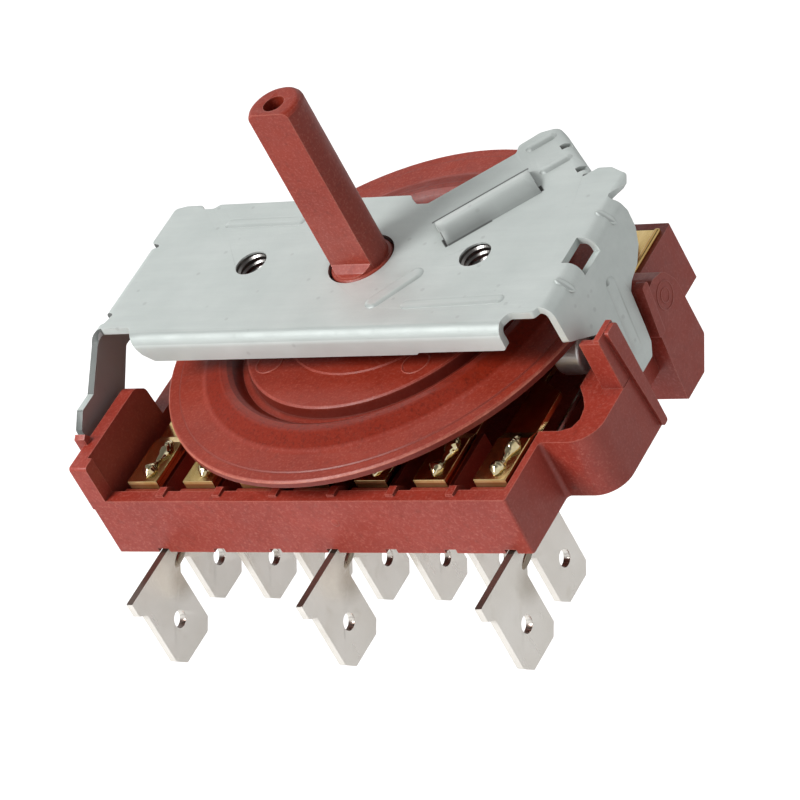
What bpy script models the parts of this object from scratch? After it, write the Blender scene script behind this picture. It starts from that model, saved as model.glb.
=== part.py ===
# Oven selector switch. Lengths below are in millimetres; MM turns them into metres.
# Origin: on the shaft's axis, level with the top face of the bracket. +Z runs up the shaft.
import math

import bmesh
import bpy
from mathutils import Matrix, Vector
from mathutils.geometry import tessellate_polygon

MM = 0.001
GAP = 0.3

# Poles: seven contact lanes side by side along X
POLES = 7
PITCH = 7.2
ROW_MIDDLE = -0.7
POLE_X = [ROW_MIDDLE + (k - (POLES - 1) / 2) * PITCH for k in range(POLES)]
DOUBLE_POLES = (0, 3, 6)

# Bracket, folded from sheet
SHEET = 0.8
BEND = 1.4
RIGHT_FACE = 27.15
LEFT_FACE = -29.6
FRONT_FACE = -11.1
REAR_EDGE = 9.5
FRONT_DROP = 3.1
SPLAY = math.radians(5.0)
EAR_LINE = 23.0
EAR_BEND = 1.1
EAR_ANGLE = math.radians(68.0)
SCREW_X = 14.0
SCREW_BORE = 3.5
SCREW_COLLAR = 5.4
COLLAR_DROP = 1.7

# Cam disc with its shaft
SHAFT_R = 3.0
SHAFT_FLAT = 1.7
SHAFT_TOP = 20.3
SHAFT_ROUND = 0.8
FLAT_LOW = 0.75
TIP_HOLE_R = 1.15
FOOT_R = 3.35
SHOULDER_R = 6.0
DISC_R = 24.9
RIM_TOP = -6.9
RIM_LOW = -7.9
HUB_R = 15.5
HUB_TOP = -5.8
CAM_LOW = -10.9
PIVOT_R = 1.7
SOCKET_R = PIVOT_R + GAP
SOCKET_TOP = -8.3
BOSS_R = 3.7
NOTCHES = 12

# Contact blades
BLADE_TOP = CAM_LOW - GAP
BLADE_T = 0.6
BLADE_LOW = BLADE_TOP - BLADE_T
BLADE_W = 3.8
BLADE_FRONT = -20.7
BLADE_REAR = 15.2
EYE_R = 3.2
EYE_BORE = PIVOT_R + 0.5
WAIST_LEFT = 20.1

# Terminals
TERM_T = 0.8
TERM_SHIFT = 0.6
TANG_FRONT = -18.9
TANG_REAR = -14.3
TANG_TOP = BLADE_TOP + 0.1
TERM_TIP = -28.3

# Base housing
BASE_LOW = -18.0
BASE_TOP = -10.9
BASE_FRONT = -23.5
BASE_REAR = 16.4
BASE_LEFT = -27.7
BASE_RIGHT = 24.1
FLOOR_TOP = -16.4
LEFT_WALL_TOP = -6.3
LEFT_WALL_IN = -25.5
RIGHT_WALL_IN = 23.3
PAD_TOP = BLADE_LOW - GAP

LUG_FACE = 28.2
LUG_FRONT = 1.85
LUG_LOW = -21.6

# Detent
ROLLER_R = 2.5
ROLLER_LEN = 3.1
AXLE_R = 0.8
AXLE_LEN = 3.5
ROLLER_X = DISC_R - 2.55
ROLLER_Y = -2.4
ROLLER_TOP = RIM_LOW - GAP
ROLLER_Z = ROLLER_TOP - ROLLER_R
WIRE_R = 0.3
COIL_X = 24.6
COIL_Y = -11.2
COIL_R = 1.9
ARM_Z = ROLLER_Z - ROLLER_R - GAP - WIRE_R

# Fixed strip and tips under the blades' free ends
TIP_Y = 12.6
TIP_R = 1.0
TIP_T = 0.6
TIP_TOP = BLADE_LOW - GAP
BUS_TOP = TIP_TOP - TIP_T - 0.6
BUS_T = 0.8


def clear_scene():
    for item in list(bpy.data.objects):
        bpy.data.objects.remove(item, do_unlink=True)
    for mesh in list(bpy.data.meshes):
        bpy.data.meshes.remove(mesh)


def material(name, colour, metallic, roughness):
    made = bpy.data.materials.new(name)
    made.use_nodes = True
    shader = made.node_tree.nodes["Principled BSDF"]
    shader.inputs["Base Color"].default_value = (*colour, 1.0)
    shader.inputs["Metallic"].default_value = metallic
    shader.inputs["Roughness"].default_value = roughness
    made.diffuse_color = (*colour, 1.0)
    return made


def finish(bm, name):
    bmesh.ops.remove_doubles(bm, verts=bm.verts, dist=0.00001)
    bmesh.ops.recalc_face_normals(bm, faces=bm.faces)
    mesh = bpy.data.meshes.new(name)
    bm.to_mesh(mesh)
    bm.free()
    made = bpy.data.objects.new(name, mesh)
    bpy.context.scene.collection.objects.link(made)
    return made


def soften(points, radius, steps=4):
    """Round the corners of a closed outline; radius is one length or one per corner."""
    out = []
    count = len(points)
    for i in range(count):
        want = radius[i] if isinstance(radius, (list, tuple)) else radius
        here = Vector(points[i])
        before = Vector(points[i - 1]) - here
        after = Vector(points[(i + 1) % count]) - here
        la, lb = before.length, after.length
        before.normalize()
        after.normalize()
        angle = before.angle(after)
        if want <= 0 or angle > math.pi - 0.05:
            out.append((here.x, here.y))
            continue
        reach = min(want / math.tan(angle / 2), la * 0.49, lb * 0.49)
        r = reach * math.tan(angle / 2)
        mid = here + (before + after).normalized() * (r / math.sin(angle / 2))
        start = here + before * reach - mid
        end = here + after * reach - mid
        turn = start.angle_signed(end)
        for k in range(steps + 1):
            a = -turn * k / steps
            c, s = math.cos(a), math.sin(a)
            out.append((mid.x + start.x * c - start.y * s, mid.y + start.x * s + start.y * c))
    return out


def circle(cx, cy, r, steps=32, start=0.0):
    return [(cx + r * math.cos(start + 2 * math.pi * k / steps),
             cy + r * math.sin(start + 2 * math.pi * k / steps)) for k in range(steps)]


def rect(x0, y0, x1, y1):
    return [(x0, y0), (x1, y0), (x1, y1), (x0, y1)]


def prism(name, outlines, low, high, axis="z"):
    """Extrude an outline (the first) with holes (the others) along one axis."""
    place = {"z": lambda a, b, h: (a, b, h), "x": lambda a, b, h: (h, a, b), "y": lambda a, b, h: (a, h, b)}[axis]
    bm = bmesh.new()
    flat = [p for loop in outlines for p in loop]
    layers = [[bm.verts.new(Vector(place(a, b, h)) * MM) for a, b in flat] for h in (low, high)]
    for tri in tessellate_polygon([[Vector((a, b, 0)) for a, b in loop] for loop in outlines]):
        for layer in layers:
            bm.faces.new([layer[i] for i in tri])
    first = 0
    for loop in outlines:
        n = len(loop)
        for i in range(n):
            j = (i + 1) % n
            bm.faces.new([layers[0][first + i], layers[0][first + j], layers[1][first + j], layers[1][first + i]])
        first += n
    return finish(bm, name)


def mound(name, start, end, radius, rise):
    """A pressed rib on the sheet's top: a long round-ended hill with sloping sides."""
    first, last = Vector(start), Vector(end)
    way = (last - first).normalized()
    across = Vector((-way.y, way.x))
    bm = bmesh.new()
    rings = []
    for r, z in ((radius + 0.55, -0.3 - 0.1 * radius), (radius + 0.2, 0.03), (radius - 0.05, rise * 0.8), (radius - 0.25, rise)):
        ring = []
        for k in range(18):
            a = math.pi * (k - (k > 8)) / 8 - math.pi / 2
            middle = last if k < 9 else first
            p = middle + way * (r * math.cos(a)) + across * (r * math.sin(a))
            ring.append(bm.verts.new(Vector((p.x, p.y, z)) * MM))
        rings.append(ring)
    for low, high in zip(rings, rings[1:]):
        for k in range(18):
            n = (k + 1) % 18
            bm.faces.new([low[k], low[n], high[n], high[k]])
    bm.faces.new(rings[0])
    bm.faces.new(rings[-1])
    return finish(bm, name)


def box(name, x0, x1, y0, y1, z0, z1):
    return prism(name, [rect(x0, y0, x1, y1)], z0, z1)


def lathe(name, profile, steps=96, closed=False, sweep=(0.0, 2 * math.pi)):
    """Turn a profile of (radius, height) about Z. An open profile begins and ends on the axis."""
    bm = bmesh.new()
    whole = abs(sweep[1] - sweep[0] - 2 * math.pi) < 1e-6
    count = steps if whole else steps + 1
    rings = []
    for r, z in profile:
        if r < 1e-6:
            rings.append([bm.verts.new(Vector((0, 0, z)) * MM)])
        else:
            ring = []
            for k in range(count):
                a = sweep[0] + (sweep[1] - sweep[0]) * k / steps
                ring.append(bm.verts.new(Vector((r * math.cos(a), r * math.sin(a), z)) * MM))
            rings.append(ring)
    pairs = list(zip(rings, rings[1:]))
    if closed:
        pairs.append((rings[-1], rings[0]))
    for one, two in pairs:
        for k in range(steps):
            n = (k + 1) % count
            corners = [one[k % len(one)], one[n % len(one)], two[n % len(two)], two[k % len(two)]]
            kept = []
            for v in corners:
                if v not in kept:
                    kept.append(v)
            if len(kept) > 2:
                bm.faces.new(kept)
    if not whole:
        bm.faces.new([ring[0] for ring in rings])
        bm.faces.new([ring[-1] for ring in rings])
    return finish(bm, name)


def wire(name, path, radius, sides=10):
    """Sweep a round section along a path of points."""
    bm = bmesh.new()
    pts = [Vector(p) for p in path]
    ahead = [(pts[min(i + 1, len(pts) - 1)] - pts[max(i - 1, 0)]).normalized() for i in range(len(pts))]
    side = ahead[0].orthogonal().normalized()
    rings = []
    for p, t in zip(pts, ahead):
        side = (side - t * side.dot(t)).normalized()
        other = t.cross(side)
        ring = []
        for k in range(sides):
            a = 2 * math.pi * k / sides
            ring.append(bm.verts.new((p + (side * math.cos(a) + other * math.sin(a)) * radius) * MM))
        rings.append(ring)
    for one, two in zip(rings, rings[1:]):
        for k in range(sides):
            n = (k + 1) % sides
            bm.faces.new([one[k], one[n], two[n], two[k]])
    bm.faces.new(rings[0])
    bm.faces.new(rings[-1])
    return finish(bm, name)


def combine(target, tools, operation):
    """Join or cut with exact solids, keep the result as the target's mesh, drop the tools."""
    for tool in tools:
        step = target.modifiers.new(operation.title(), "BOOLEAN")
        step.operation = operation
        step.solver = "EXACT"
        step.object = tool
    view = bpy.context.evaluated_depsgraph_get()
    view.update()
    mesh = bpy.data.meshes.new_from_object(target.evaluated_get(view))
    target.modifiers.clear()
    old = target.data
    target.data = mesh
    bpy.data.meshes.remove(old)
    for tool in tools:
        data = tool.data
        bpy.data.objects.remove(tool, do_unlink=True)
        bpy.data.meshes.remove(data)
    return target


def simplify(thing):
    """Merge faces that lie in one plane, so flat areas carry few faces."""
    bm = bmesh.new()
    bm.from_mesh(thing.data)
    bmesh.ops.dissolve_limit(bm, angle_limit=math.radians(0.05), verts=bm.verts, edges=bm.edges)
    bm.to_mesh(thing.data)
    bm.free()
    return thing


def round_edges(thing, width, segments=2, angle=40.0):
    step = thing.modifiers.new("Edge", "BEVEL")
    step.width = width * MM
    step.segments = segments
    step.limit_method = "ANGLE"
    step.angle_limit = math.radians(angle)
    step.harden_normals = False
    return thing


def dress(thing, name, look, smooth_angle=35.0):
    thing.name = name
    thing.data.name = name
    thing.data.materials.clear()
    thing.data.materials.append(look)
    bm = bmesh.new()
    bm.from_mesh(thing.data)
    limit = math.radians(smooth_angle)
    for face in bm.faces:
        face.smooth = True
    for edge in bm.edges:
        if len(edge.link_faces) == 2:
            edge.smooth = edge.calc_face_angle(0.0) < limit
        else:
            edge.smooth = False
    bm.to_mesh(thing.data)
    bm.free()
    return thing


# Bracket: one flat blank, cut to outline, then folded over its bend lines

def fold_length(drop, angle):
    """Length on the blank, past the bend line, of a point this far down its flange."""
    neutral = BEND - SHEET / 2
    return neutral * angle + (drop - BEND * (1 - math.cos(angle))) / math.sin(angle)


def fold_over(past, depth, angle, bend=BEND):
    """Travel along and down for a point this far past a bend line, this deep in the sheet."""
    neutral = bend - SHEET / 2
    r = bend + depth
    turn = min(past / neutral, angle)
    rest = max(past - neutral * angle, 0.0)
    along = r * math.sin(turn) + rest * math.cos(turn)
    down = bend - r * math.cos(turn) + rest * math.sin(turn)
    return along, down


def bracket_blank():
    square = math.pi / 2
    right_angle = square - SPLAY
    right_line = RIGHT_FACE - BEND
    left_line = LEFT_FACE + BEND
    front_line = FRONT_FACE + BEND

    def on_right(y, z):
        return (right_line + fold_length(-z, right_angle), y)

    def on_left(y, z):
        return (left_line - fold_length(-z, square), y)

    front_end = front_line - fold_length(FRONT_DROP, square)
    outline = [
        (-29.2, REAR_EDGE - 0.4), (-29.2, 3.7), (-28.0, 3.45), (-28.0, 3.0),
        on_left(2.95, -1.6), on_left(2.8, -2.6), on_left(0.5, -4.6), on_left(-7.0, -4.4), on_left(-12.6, -9.6),
        on_left(-16.4, -9.6), on_left(-18.3, -7.4), on_left(-18.3, -5.9), on_left(-16.7, -4.5),
        on_left(-14.4, -4.5), on_left(-10.2, -1.2), (left_line - 0.2, -9.4),
        (-24.5, -9.4), (-24.0, -10.1), (-23.0, front_end + 0.9), (-21.8, front_end), (11.3, front_end), (11.5, front_end + 0.25),
        (22.1, front_end + 0.25), (22.1, -9.9), (22.5, -8.9), (25.2, -8.9), (25.6, -8.2), (right_line, -8.2),
        on_right(-8.5, -4.3), on_right(-3.9, -7.3), on_right(-4.3, -11.6), on_right(-2.6, -14.1),
        on_right(0.1, -14.1), on_right(1.1, -13.0), on_right(1.5, -11.5), on_right(2.4, -7.6), on_right(3.3, -7.0),
        on_right(5.2, -6.5), on_right(6.8, -5.4), on_right(7.8, -3.9), on_right(8.1, -2.0), (right_line + 0.3, 7.6),
        (right_line, 8.2),
        (26.6, 10.2), (26.2, 11.4), (24.2, 12.4), (22.6, 12.4), (21.35, 11.15), (21.15, 11.35), (21.85, 12.05),
        (15.7, 18.2), (14.4, 19.0), (12.6, 18.4), (10.9, 16.5), (11.2, 15.3), (4.0, 8.1), (2.6, 8.1),
        (1.6, 8.9), (1.2, REAR_EDGE), (-23.4, REAR_EDGE), (-24.0, REAR_EDGE - 0.6),
        (-25.4, REAR_EDGE - 0.6), (-25.7, REAR_EDGE), (-27.8, REAR_EDGE),
    ]
    holes = [circle(x, 0, SCREW_BORE / 2, 32) for x in (-SCREW_X, SCREW_X)]
    holes.append(circle(0, 0, FOOT_R + GAP, 40))
    holes.append([(25.2, -1.8), (25.2, 1.9), on_right(1.8, -1.7), on_right(-1.8, -1.7)])
    holes.append([(-27.9, -7.2), (-28.3, -8.6), on_left(-8.6, -1.2), on_left(-6.4, -2.6), on_left(-6.0, -2.2)])
    slant = math.sqrt(0.5)
    slot_mid = Vector((12.3, 7.1))
    slot = []
    for a, b in ((-5.65, -2.1), (5.0, -2.1), (5.0, 2.15), (-5.65, 2.15)):
        slot.append((slot_mid.x + (a - b) * slant, slot_mid.y + (a + b) * slant))
    holes.append(slot)
    for x, y in ((16.7, 16.1), (20.4, 12.4)):
        hole = [(x + (a - b) * slant, y + (a + b) * slant) for a, b in rect(-0.45, -0.45, 0.45, 0.45)]
        holes.append(hole)
    return outline, holes, (right_line, right_angle), (left_line, square), (front_line, square)


def bracket():
    outline, holes, right, left, front = bracket_blank()
    sheet = prism("blank", [soften(outline, 0.45, 3)] + holes, -SHEET, 0.0)
    stiffener = [(right[0] + fold_length(drop, right[1]), y) for y, drop in ((0.6, 5.0), (-1.0, 11.7))]
    combine(sheet, [mound("stiffener", stiffener[0], stiffener[1], 0.56, 0.22)], "UNION")
    bm = bmesh.new()
    bm.from_mesh(sheet.data)
    neutral = BEND - SHEET / 2

    def score(axis, at):
        normal = Vector((1, 0, 0)) if axis == 0 else Vector((0, 1, 0))
        bmesh.ops.bisect_plane(bm, geom=bm.verts[:] + bm.edges[:] + bm.faces[:], dist=1e-7,
                               plane_co=normal * at * MM, plane_no=normal)

    steps = 6
    for k in range(steps + 1):
        score(0, right[0] + neutral * right[1] * k / steps)
        score(0, left[0] - neutral * left[1] * k / steps)
        score(1, front[0] - neutral * front[1] * k / steps)
    slant = math.sqrt(0.5)
    ear_length = (EAR_BEND - SHEET / 2) * EAR_ANGLE
    diagonal = Vector((slant, slant, 0))
    for k in range(5):
        bmesh.ops.bisect_plane(bm, geom=bm.verts[:] + bm.edges[:] + bm.faces[:], dist=1e-7,
                               plane_co=diagonal * (EAR_LINE + ear_length * k / 4) * MM, plane_no=diagonal)
    for vert in bm.verts:
        x, y, z = vert.co / MM
        if x > right[0]:
            along, down = fold_over(x - right[0], z, right[1])
            vert.co = Vector((right[0] + along, y, -down)) * MM
        elif x < left[0] and y < 3.05:
            along, down = fold_over(left[0] - x, z, left[1])
            vert.co = Vector((left[0] - along, y, -down)) * MM
        elif y < front[0] and x > left[0]:
            along, down = fold_over(front[0] - y, z, front[1])
            vert.co = Vector((x, front[0] - along, -down)) * MM
        elif (x + y) * slant > EAR_LINE and x - y < 9.85:
            past = (x + y) * slant - EAR_LINE
            along, down = fold_over(past, z, EAR_ANGLE, EAR_BEND)
            vert.co = Vector((x + (along - past) * slant, y + (along - past) * slant, -down)) * MM
    bm.to_mesh(sheet.data)
    bm.free()
    simplify(sheet)

    collars = []
    for x in (-SCREW_X, SCREW_X):
        ring = prism("collar", [circle(x, 0, SCREW_COLLAR / 2), circle(x, 0, SCREW_BORE / 2)],
                     -SHEET - COLLAR_DROP, -SHEET / 2)
        collars.append(ring)
    near_to_far = [(-2.3, 0.0), (-1.75, 0.3), (-1.1, 0.68), (-0.4, 0.95), (0.3, 1.08), (0.9, 0.98), (1.4, 0.66),
                   (1.75, 0.2), (1.85, -0.3), (1.2, -0.3), (1.05, 0.1), (0.6, 0.3), (0.0, 0.3), (-0.7, 0.1),
                   (-1.4, -0.3), (-2.3, -0.8)]
    lance = prism("lance", [[(-across, up) for across, up in near_to_far]], -5.35, 4.7, "y")
    lance.rotation_euler = (0, 0, -math.pi / 4)
    lance.location = Vector((12.3, 7.1, 0)) * MM
    collars.append(lance)
    ribs = []
    for start, end, r, rise in (
            ((-20.2, 6.3), (-11.2, 6.3), 0.45, 0.14), ((5.1, -6.6), (8.1, -2.7), 0.75, 0.2),
            ((9.4, -7.2), (20.3, -6.8), 0.42, 0.13), ((12.7, 16.0), (14.3, 17.6), 0.4, 0.28),
            ((16.2, 12.4), (17.9, 14.1), 0.41, 0.27)):
        ribs.append(mound("rib", start, end, r, rise))
    return simplify(combine(sheet, collars + ribs, "UNION"))


# Cam disc: turned body, D shaft, cams and notches below

def cam_disc():
    profile = [
        (0, -0.05), (FOOT_R - 0.15, -0.05), (FOOT_R, -0.2), (FOOT_R, -SHEET - GAP), (SHOULDER_R, -SHEET - GAP),
        (SHOULDER_R + 0.3, -1.5), (SHOULDER_R + 0.6, HUB_TOP + 0.4), (SHOULDER_R + 1.0, HUB_TOP + 0.06),
        (10.6, HUB_TOP + 0.06), (10.75, HUB_TOP - 0.05), (HUB_R - 0.2, HUB_TOP - 0.05), (HUB_R, HUB_TOP - 0.2),
        (HUB_R + 0.15, -7.15), (16.5, -7.2), (17.3, -6.25), (17.8, -5.95), (18.5, -5.98), (20.8, RIM_TOP + 0.1),
        (21.2, RIM_TOP), (23.5, RIM_TOP), (23.6, RIM_TOP - 0.1), (DISC_R - 0.2, RIM_TOP - 0.1),
        (DISC_R, RIM_TOP - 0.3), (DISC_R, RIM_LOW + 0.15), (DISC_R - 0.15, RIM_LOW),
        (14.2, RIM_LOW), (13.9, RIM_LOW - 0.4), (4.6, RIM_LOW - 0.4), (BOSS_R + 0.2, CAM_LOW + 0.3), (BOSS_R, CAM_LOW),
        (SOCKET_R, CAM_LOW), (SOCKET_R, SOCKET_TOP), (0, SOCKET_TOP),
    ]
    disc = lathe("disc", profile, 96)
    flat_y = -SHAFT_FLAT
    reach = math.sqrt(SHAFT_R ** 2 - SHAFT_FLAT ** 2)
    first = math.atan2(flat_y, reach)
    last = math.atan2(flat_y, -reach) + 2 * math.pi
    section = []
    for k in range(41):
        a = first + (last - first) * k / 40
        section.append((SHAFT_R * math.cos(a), SHAFT_R * math.sin(a)))
    shaft = prism("shaft", [section], FLAT_LOW + 0.01, SHAFT_TOP)
    dome = [(0, SHAFT_TOP + 0.02)]
    for k in range(5):
        a = math.pi / 2 * (1 - k / 4)
        dome.append((SHAFT_R + 0.02 - SHAFT_ROUND * (1 - math.cos(a)), SHAFT_TOP + 0.02 - SHAFT_ROUND * (1 - math.sin(a))))
    dome += [(SHAFT_R + 0.02, FLAT_LOW - 1.0), (0, FLAT_LOW - 1.0)]
    combine(shaft, [lathe("dome", dome, 72)], "INTERSECT")
    round_edges(shaft, 0.22, 2, 50)
    stub = lathe("stub", [(0, FLAT_LOW + 0.6), (SHAFT_R, FLAT_LOW + 0.6), (SHAFT_R, -0.6), (0, -0.6)], 56)
    run_out = prism("run_out", [[(flat_y, FLAT_LOW + 2), (-4, FLAT_LOW + 2), (-4, -0.02), (-3.02, -0.02),
                                 (-2.5, 0.16), (flat_y, FLAT_LOW)]], -4, 4, "x")
    combine(stub, [run_out], "DIFFERENCE")
    parts = [shaft, stub]
    for r0, r1, spans in (
            (12.2, 13.3, ((0.2, 1.5), (2.1, 3.4), (4.2, 5.6))),
            (9.7, 10.9, ((0.9, 2.4), (3.3, 4.1), (5.0, 6.1))),
            (7.2, 8.4, ((0.0, 1.2), (2.8, 4.4))),
            (5.0, 6.0, ((1.0, 2.6), (4.4, 5.9)))):
        for a0, a1 in spans:
            ridge = [(r0, RIM_LOW + 0.1), (r1, RIM_LOW + 0.1), (r1 - 0.15, CAM_LOW), (r0 + 0.15, CAM_LOW)]
            parts.append(lathe("ridge", ridge, max(5, int((a1 - a0) * 7)), True, (a0, a1)))
    combine(disc, parts, "UNION")
    cutters = [prism("tip_hole", [circle(0, 0, TIP_HOLE_R, 28)], SHAFT_TOP - 4.0, SHAFT_TOP + 1)]
    over_roller = math.atan2(ROLLER_Y, ROLLER_X)
    for k in range(NOTCHES):
        groove = prism("notch", [circle(0, RIM_LOW - 0.9, 1.5, 16)], 20.7, 24.0, "x")
        groove.rotation_euler = (0, 0, over_roller + 2 * math.pi * k / NOTCHES)
        cutters.append(groove)
    return simplify(combine(disc, cutters, "DIFFERENCE"))


# Contact blades: flat strips, staked over the terminals' tangs at the front

def blade(k):
    x = POLE_X[k]
    half = BLADE_W / 2
    if k == POLES // 2:
        right = math.acos((x + half) / EYE_R)
        left = math.acos((x - half) / EYE_R)
        loop = [(x - half, BLADE_FRONT), (x + half, BLADE_FRONT)]
        for s in range(13):
            a = -right + 2 * right * s / 12
            loop.append((EYE_R * math.cos(a), EYE_R * math.sin(a)))
        loop += [(x + half, BLADE_REAR), (x - half, BLADE_REAR)]
        for s in range(13):
            a = left + (2 * math.pi - 2 * left) * s / 12
            loop.append((EYE_R * math.cos(a), EYE_R * math.sin(a)))
        holes = [circle(0, 0, EYE_BORE, 32)]
    elif k == POLES - 1:
        loop = soften([(x - half, BLADE_FRONT), (x + half, BLADE_FRONT), (x + half, -8.0), (WAIST_LEFT, -6.4),
                       (WAIST_LEFT, 5.0), (x + half, 6.6), (x + half, BLADE_REAR), (x - half, BLADE_REAR)],
                      [0, 0, 0.3, 0.6, 0.6, 0.3, 0.3, 0.3], 3)
        holes = []
    else:
        loop = rect(x - half, BLADE_FRONT, x + half, BLADE_REAR)
        holes = []
    slot = TERM_T / 2 + GAP
    mid = x + TERM_SHIFT
    holes.append(rect(mid - slot, TANG_FRONT - GAP, mid + slot, TANG_REAR + GAP))
    return prism("blade", [loop] + holes, BLADE_LOW, BLADE_TOP)


# Terminals: flat plates, a tang up through the blade and one or two tabs below

def terminal(k):
    shoulder = PAD_TOP - 0.3
    rear_tab = [(-13.9, BASE_LOW - 0.6), (-15.4, BASE_LOW - 1.4), (-15.4, TERM_TIP + 1.5), (-16.4, TERM_TIP + 0.4),
                (-20.2, TERM_TIP + 0.4), (-21.3, TERM_TIP + 1.6)]
    if k in DOUBLE_POLES:
        body = [(-20.6, shoulder), (-20.6, -17.8), (-31.3, -17.8), (-31.3, -19.5), (-30.3, -20.3),
                (-30.3, TERM_TIP + 1.4), (-29.1, TERM_TIP), (-24.6, TERM_TIP), (-23.5, TERM_TIP + 1.1),
                (-23.5, -20.9), (-22.9, -20.2), (-21.9, -20.2), (-21.3, -20.8)]
    else:
        body = [(-20.6, shoulder), (-20.6, BASE_LOW - 0.8), (-21.3, BASE_LOW - 1.4)]
    loop = [(TANG_REAR, TANG_TOP), (TANG_FRONT, TANG_TOP), (TANG_FRONT, shoulder)] + body
    loop += list(reversed(rear_tab)) + [(-13.9, shoulder), (TANG_REAR, shoulder)]
    holes = [circle(-17.9, -24.1, 0.95, 16)]
    if k in DOUBLE_POLES:
        holes.append(circle(-26.9, -24.2, 0.95, 16))
    mid = POLE_X[k] + TERM_SHIFT
    made = prism("terminal", [soften(loop, 0.15, 2)] + holes, mid - TERM_T / 2, mid + TERM_T / 2, "x")
    round_edges(made, 0.08, 1, 50)
    return made


# Base housing

def base():
    plan = soften([
        (BASE_LEFT, BASE_FRONT), (BASE_RIGHT, BASE_FRONT), (BASE_RIGHT, -15.5), (30.3, -15.5), (30.3, -4.8),
        (26.3, -4.8), (26.3, 6.0), (BASE_RIGHT, 6.0), (BASE_RIGHT, BASE_REAR), (BASE_LEFT, BASE_REAR)],
        [0.3, 0.3, 0.5, 4.6, 0.3, 0.3, 0.3, 0.5, 0.3, 0.3], 10)
    body = prism("body", [plan], BASE_LOW, BASE_TOP)
    wall = prism("wall", [soften([(BASE_FRONT, -12.0), (BASE_FRONT, LEFT_WALL_TOP), (-11.6, LEFT_WALL_TOP),
                                  (-10.4, -7.4), (-10.4, -12.0)], [0, 0.4, 1.2, 0.8, 0], 4)],
                 BASE_LEFT, LEFT_WALL_IN, "x")
    round_edges(wall, 0.3, 2, 60)
    hook = prism("hook", [[(-20.0, -8.2), (-20.0, -5.6), (-19.5, -5.3), (-19.1, -5.9), (-19.0, -8.2)]],
                 BASE_LEFT - 0.9, BASE_LEFT + 0.4, "x")
    shield = box("shield", 27.85, 30.2, -8.0, -7.3, -12.0, -5.15)
    cheek = box("cheek", 29.6, 30.25, -7.95, -4.9, -12.0, -4.75)
    rib = prism("rib", [soften([(-6.9, -4.8), (-4.95, -4.8), (-4.95, BASE_LOW + 0.1), (-5.9, BASE_LOW + 0.1)],
                               [0.3, 0.5, 0.3, 0.3], 4)], 29.8, 30.75, "x")
    lug = prism("lug", [soften([
        (LUG_FRONT, LUG_LOW), (5.9, LUG_LOW), (8.6, -18.8), (8.6, -11.6), (7.4, -9.4), (5.4, -8.8),
        (LUG_FRONT + 1.3, -9.3)], [0.2, 0.3, 0.5, 2.2, 1.6, 1.4, 0.3], 4)], 23.6, LUG_FACE, "x")
    fin = prism("fin", [soften([(2.95, -7.8), (4.1, -7.6), (3.1, -13.5), (1.9, -13.5)], 0.3, 3)],
                LUG_FACE - 0.6, LUG_FACE + 0.5, "x")
    combine(body, [wall, hook, shield, cheek, rib, lug, fin], "UNION")

    # Hollow between the walls, down to the floor, with a pocket for the spring at the right
    cutters = [box("hollow", LEFT_WALL_IN, RIGHT_WALL_IN, -22.0, BLADE_REAR + GAP, FLOOR_TOP, BASE_TOP + 1)]
    cutters.append(prism("well", [soften([
        (22.9, -13.9), (25.7, -13.9), (26.9, -13.4), (27.3, -12.3), (27.0, -10.6), (26.2, -9.2), (25.0, -7.6),
        (25.0, 3.2), (22.9, 3.2)], [0, 0.6, 0.4, 0.4, 0.4, 0.4, 0.4, 0.3, 0], 3)], FLOOR_TOP - 0.3, BASE_TOP + 1))
    cutters.append(prism("draft", [[(LEFT_WALL_IN - 0.65, LEFT_WALL_TOP + 1), (LEFT_WALL_IN + 1, LEFT_WALL_TOP + 1),
                                    (LEFT_WALL_IN + 1, -13.1), (LEFT_WALL_IN - 0.02, -13.1)]], -21.95, -9.0, "y"))
    combine(body, cutters, "DIFFERENCE")

    # Pivot, rests for the blades and the fixed strip, small posts between the blades
    added = [prism("pivot", [circle(0, 0, PIVOT_R, 32)], FLOOR_TOP - 0.5, SOCKET_TOP - 0.4)]
    added.append(box("strip_rest", LEFT_WALL_IN - 0.3, RIGHT_WALL_IN + 0.3, TIP_Y - 1.3, TIP_Y + 0.9,
                     FLOOR_TOP - 0.4, BUS_TOP - BUS_T - GAP))
    for x in POLE_X:
        added.append(box("pad", x - 1.6, x + 2.0, -22.2, -12.8, FLOOR_TOP - 0.6, PAD_TOP))
    for x in POLE_X[:-1]:
        side = [(-22.9, -10.65), (-21.7, -10.6), (-20.95, -11.3), (-20.9, FLOOR_TOP - 0.7), (-22.9, FLOOR_TOP - 0.7)]
        added.append(prism("post", [side], x + PITCH / 2 - 0.45, x + PITCH / 2 + 0.45, "x"))
    combine(body, added, "UNION")

    # Slots for the terminals
    slots = []
    for x in POLE_X:
        mid = x + TERM_SHIFT
        half = TERM_T / 2 + GAP
        slots.append(box("slot", mid - half, mid + half, -20.9, -13.6, BASE_LOW - 1, PAD_TOP + 0.5))
        slots.append(box("nick", mid - half, mid + half, BASE_FRONT - 1, -20.0, BASE_LOW - 1.2, -17.5))
    return simplify(combine(body, slots, "DIFFERENCE"))


def detent_roller():
    half = ROLLER_LEN / 2
    edge = 0.2
    bore = AXLE_R + GAP
    made = lathe("roller", [(bore, half), (ROLLER_R - edge, half), (ROLLER_R - edge * 0.3, half - edge * 0.3),
                            (ROLLER_R, half - edge), (ROLLER_R, edge - half),
                            (ROLLER_R - edge * 0.3, edge * 0.3 - half), (ROLLER_R - edge, -half), (bore, -half)],
                 56, True)
    made.data.transform(turn_to_x())
    made.location = Vector((ROLLER_X, ROLLER_Y, ROLLER_Z)) * MM
    return made


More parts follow.
